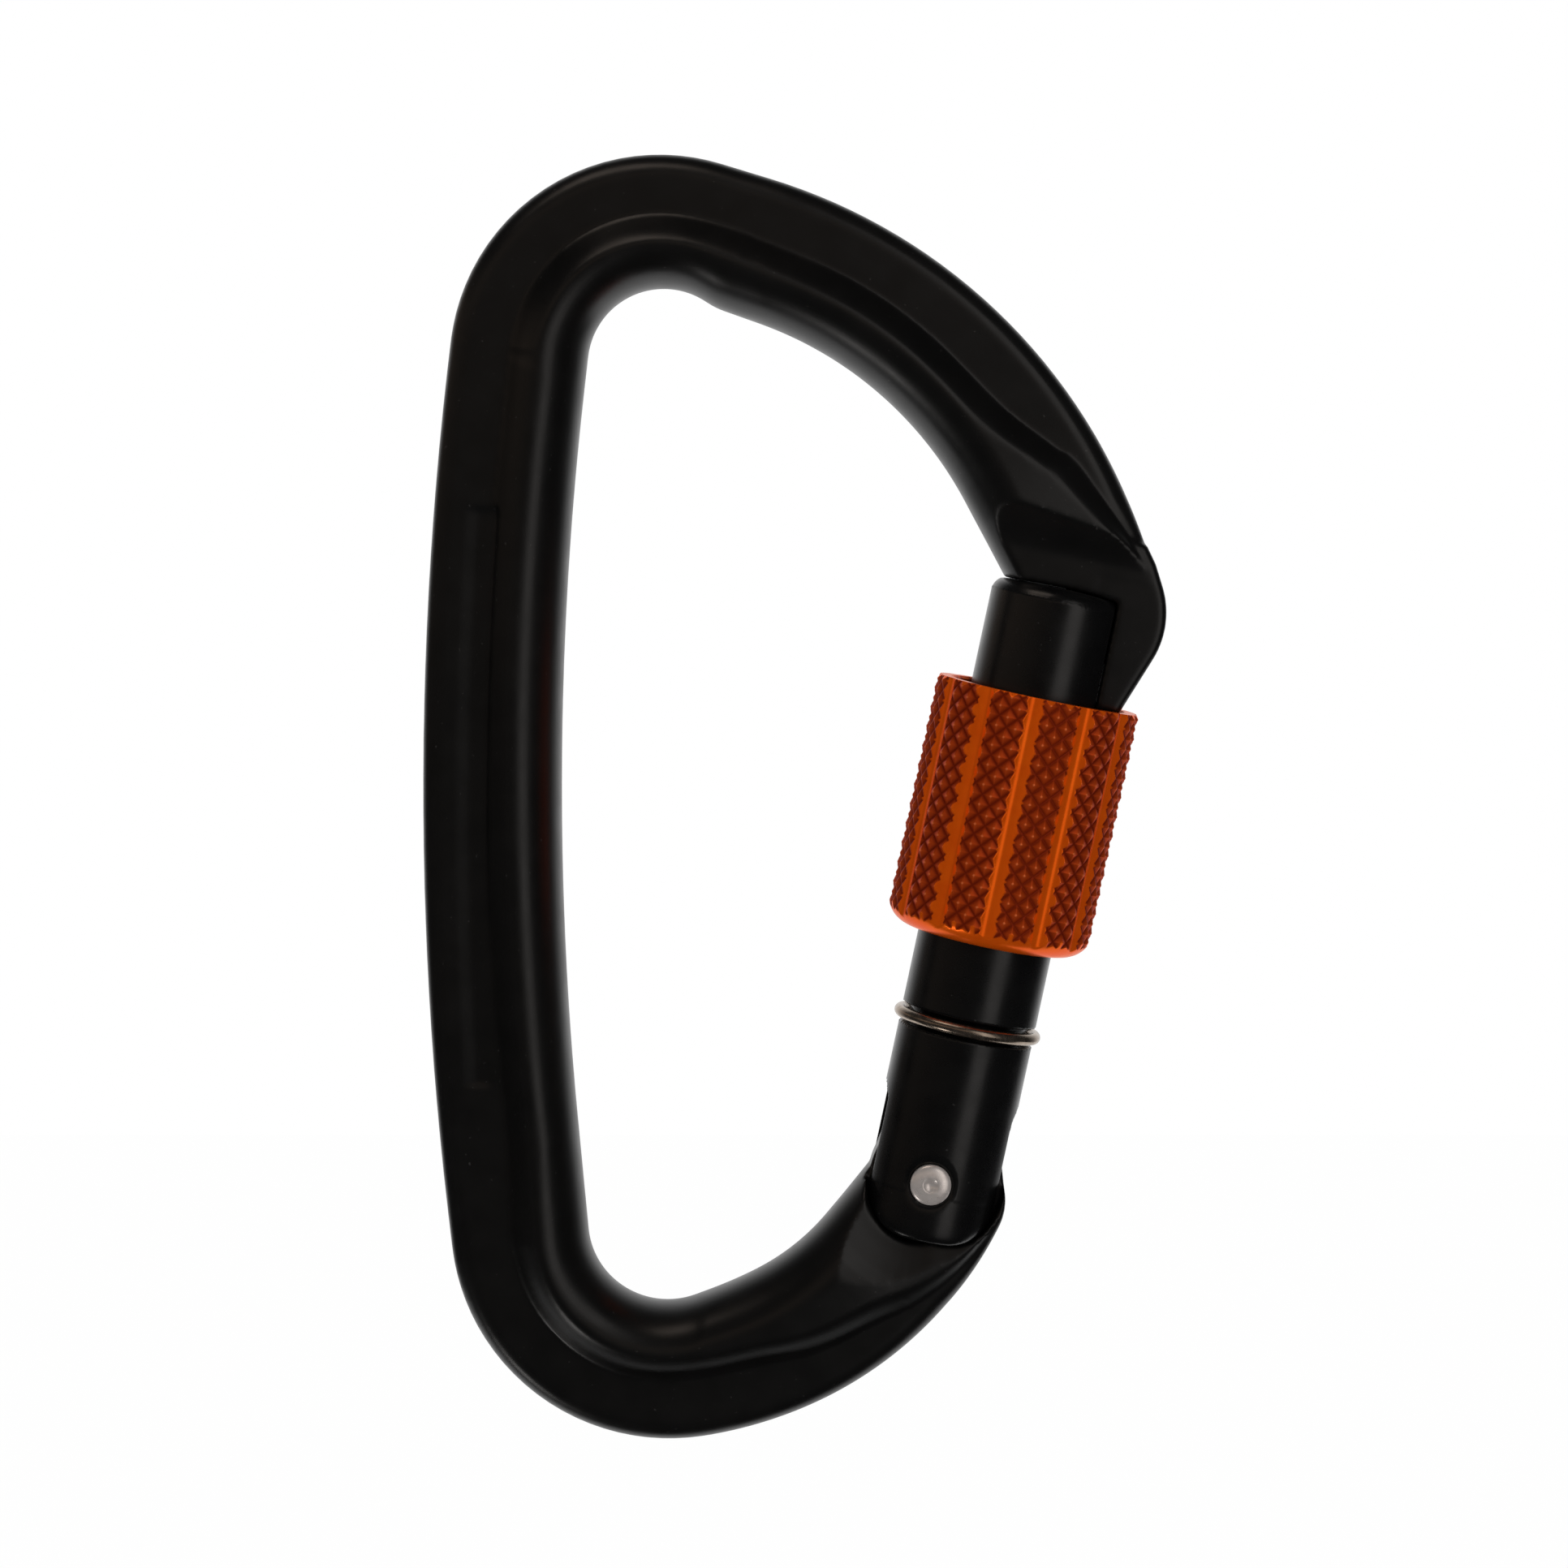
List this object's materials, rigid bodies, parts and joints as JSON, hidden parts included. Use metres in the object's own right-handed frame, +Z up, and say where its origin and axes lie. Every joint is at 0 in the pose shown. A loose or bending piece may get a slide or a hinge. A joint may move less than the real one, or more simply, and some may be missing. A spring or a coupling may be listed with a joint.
{
  "type": "screw-gate carabiner",
  "caption": "D-shaped locking carabiner: a forged black body, a sprung solid gate and a fluted, knurled orange screw sleeve.",
  "frame": {"origin": "crown of the top basket's inner face, where the carabiner hangs on its anchor, at mid thickness", "axes": "+Z up along the load line, +X from the spine to the gate, Y across the flat of the carabiner"},
  "size_m": [0.0603, 0.0168, 0.1049],
  "materials": {
    "body_anodise": "forged, tumbled and black anodised, satin",
    "gate_anodise": "turned and black anodised, satin",
    "sleeve_anodise": "knurled and orange anodised",
    "rivet_steel": "polished stainless head",
    "ring_steel": "bright drawn wire",
    "spring_steel": "drawn spring wire",
    "plunger_steel": "turned"
  },
  "bodies": {
    "body": {"body": "body_anodise"},
    "gate": {"gate": "gate_anodise", "hinge_rivet": "rivet_steel", "stop_ring": "ring_steel", "gate_spring": "spring_steel"},
    "sleeve": {"screw_sleeve": "sleeve_anodise"},
    "plunger": {"spring_plunger": "plunger_steel"}
  },
  "joints": [
    {"name": "gate_swing", "type": "hinge", "parent": "body", "child": "gate", "pos_m": [0.0216, 0, -0.0724], "axis": [0, -1, 0], "range_deg": [0, 26], "stiffness_Nm_per_rad": 0.35, "springref_deg": -57.3},
    {"name": "sleeve_travel", "type": "slide", "parent": "gate", "child": "sleeve", "axis": [0.2062, 0, 0.9785], "range_m": [-0.0062, 0]},
    {"name": "plunger_slide", "type": "slide", "parent": "gate", "child": "plunger", "axis": [0.2062, 0, 0.9785], "range_m": [0, 0.001], "deforming": ["gate_spring"]}
  ],
  "couplings": [
    {"joint": "plunger_slide", "follows": "gate_swing", "m_per_rad": 0.0022}
  ]
}
